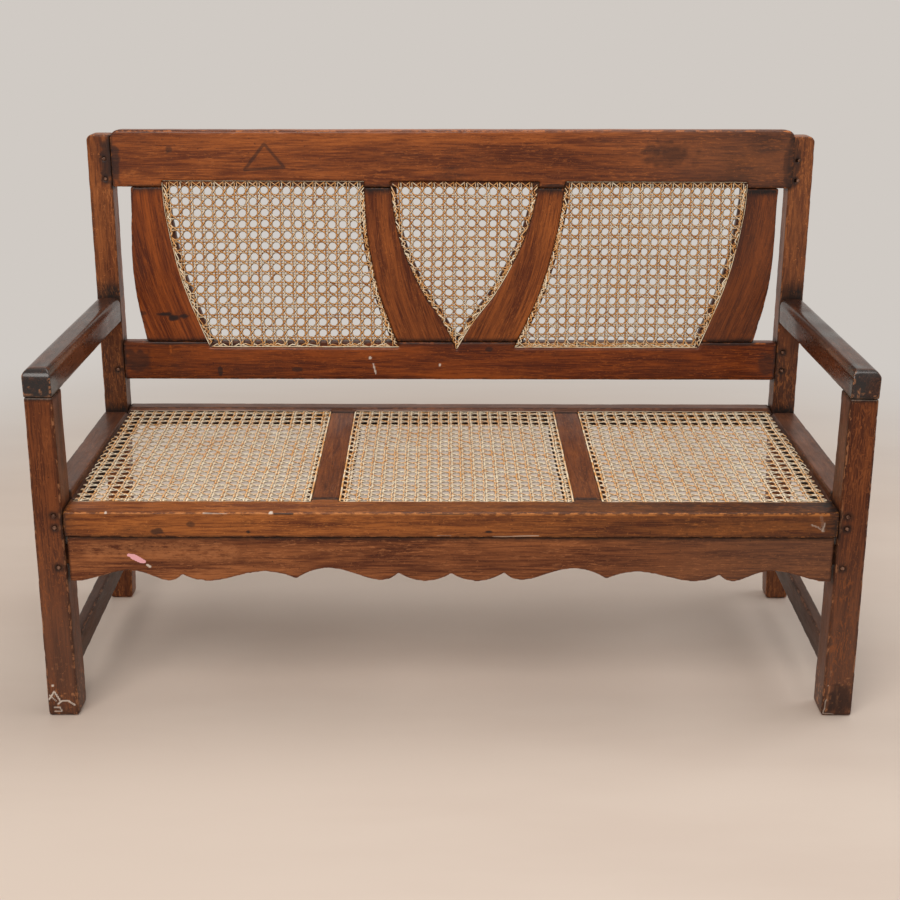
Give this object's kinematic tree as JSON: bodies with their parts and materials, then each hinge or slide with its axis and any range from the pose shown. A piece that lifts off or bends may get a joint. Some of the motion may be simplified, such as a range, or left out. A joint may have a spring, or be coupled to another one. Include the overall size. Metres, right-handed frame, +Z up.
{
  "type": "cane bench",
  "caption": "Wooden bench with arms, a caned seat in panels between cross rails, a leaning caned back with curved splats round a vee-shaped middle panel, and a scalloped apron.",
  "frame": {"origin": "on the floor under the middle of the bench's bounding box", "axes": "+Z up, +X along the bench to the sitter's left, -Y the way the sitter faces"},
  "size_m": [1.4318, 0.575, 0.964],
  "materials": {
    "frame_wood": "old dark stain under worn wax, semi-gloss",
    "arm_wood": "hand-polished dark wood, glossier and darker than the frame",
    "peg_wood": "end grain, dark",
    "cane": "split cane, smooth skin side up, satin",
    "binder_cane": "wider split cane, satin, darkened at the edges"
  },
  "bodies": {
    "root": {"apron": "frame_wood", "apron_peg_left": "peg_wood", "apron_peg_right": "peg_wood", "arm_left": "arm_wood", "arm_right": "arm_wood", "back_binder_centre": "binder_cane", "back_binder_left": "binder_cane", "back_binder_right": "binder_cane", "back_cane_centre": "cane", "back_cane_left": "cane", "back_cane_right": "cane", "back_post_left": "frame_wood", "back_post_right": "frame_wood", "back_seat_rail": "frame_wood", "crest_peg_left_lower": "peg_wood", "crest_peg_left_upper": "peg_wood", "crest_peg_right_lower": "peg_wood", "crest_peg_right_upper": "peg_wood", "crest_rail": "frame_wood", "front_leg_left": "frame_wood", "front_leg_right": "frame_wood", "front_rail_peg_left_lower": "peg_wood", "front_rail_peg_left_upper": "peg_wood", "front_rail_peg_right_lower": "peg_wood", "front_rail_peg_right_upper": "peg_wood", "front_seat_rail": "frame_wood", "lower_back_rail": "frame_wood", "lower_rail_peg_left_lower": "peg_wood", "lower_rail_peg_left_upper": "peg_wood", "lower_rail_peg_right_lower": "peg_wood", "seat_binder_centre": "binder_cane", "seat_binder_left": "binder_cane", "seat_binder_right": "binder_cane", "seat_cane_centre": "cane", "seat_cane_left": "cane", "seat_cane_right": "cane", "seat_cross_rail_left": "frame_wood", "seat_cross_rail_right": "frame_wood", "side_seat_rail_left": "frame_wood", "side_seat_rail_right": "frame_wood", "side_stretcher_left": "frame_wood", "side_stretcher_right": "frame_wood", "splat_inner_left": "frame_wood", "splat_inner_right": "frame_wood", "splat_outer_left": "frame_wood", "splat_outer_right": "frame_wood"}
  },
  "joints": []
}
